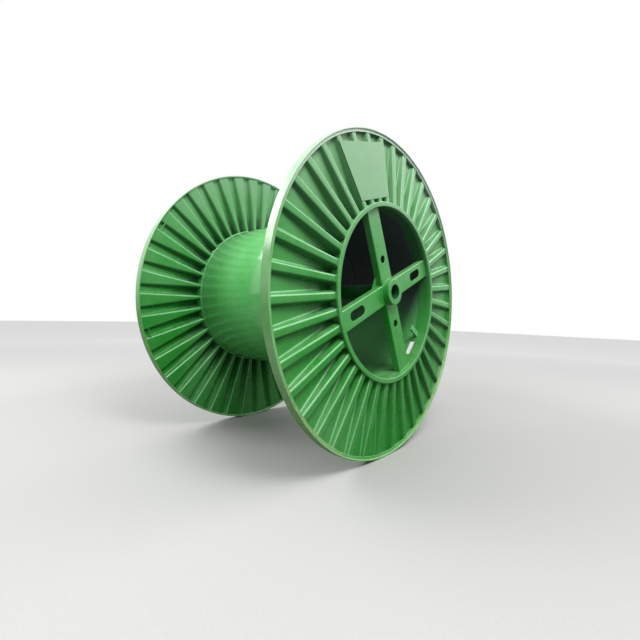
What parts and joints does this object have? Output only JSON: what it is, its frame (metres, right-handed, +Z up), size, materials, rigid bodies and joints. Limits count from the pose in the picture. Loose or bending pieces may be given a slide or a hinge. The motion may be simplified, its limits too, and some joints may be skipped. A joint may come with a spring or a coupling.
{
  "type": "steel cable drum",
  "caption": "Large all-steel cable drum with fan-folded flanges, a plain barrel, a centre tube and a welded cross of channels carrying the hub at each end.",
  "frame": {"origin": "on the drum's axis, halfway between the two flanges", "axes": "+Y along the drum's axis from the front flange to the rear flange, +Z up as the drum lies on its rims, +X to the right of someone facing the front flange"},
  "size_m": [3.1498, 2.236, 3.1498],
  "materials": {
    "barrel_green": "satin",
    "rim_green": "semi-gloss",
    "disc_green": "semi-gloss",
    "ring_green": "semi-gloss",
    "arm_green": "semi-gloss"
  },
  "bodies": {
    "root": {"barrel": "barrel_green", "front_rim": "rim_green", "rear_rim": "rim_green", "front_folded_disc": "disc_green", "rear_folded_disc": "disc_green", "front_end_ring": "ring_green", "rear_end_ring": "ring_green", "front_hub": "ring_green", "rear_hub": "ring_green", "front_slotted_arm_right": "arm_green", "front_slotted_arm_left": "arm_green", "front_plain_arm_upper": "arm_green", "front_plain_arm_lower": "arm_green", "rear_slotted_arm_right": "arm_green", "rear_slotted_arm_left": "arm_green", "rear_plain_arm_upper": "arm_green", "rear_plain_arm_lower": "arm_green", "plate_panel": "disc_green", "centre_tube": "barrel_green", "rear_lashing_bar_upper": "disc_green", "rear_lashing_bar_lower": "disc_green", "front_gusset_upper_right": "arm_green", "front_gusset_upper_left": "arm_green", "front_gusset_lower_left": "arm_green", "front_gusset_lower_right": "arm_green", "rear_gusset_upper_right": "arm_green", "rear_gusset_upper_left": "arm_green", "rear_gusset_lower_left": "arm_green", "rear_gusset_lower_right": "arm_green", "cable_lug": "ring_green"}
  },
  "joints": []
}
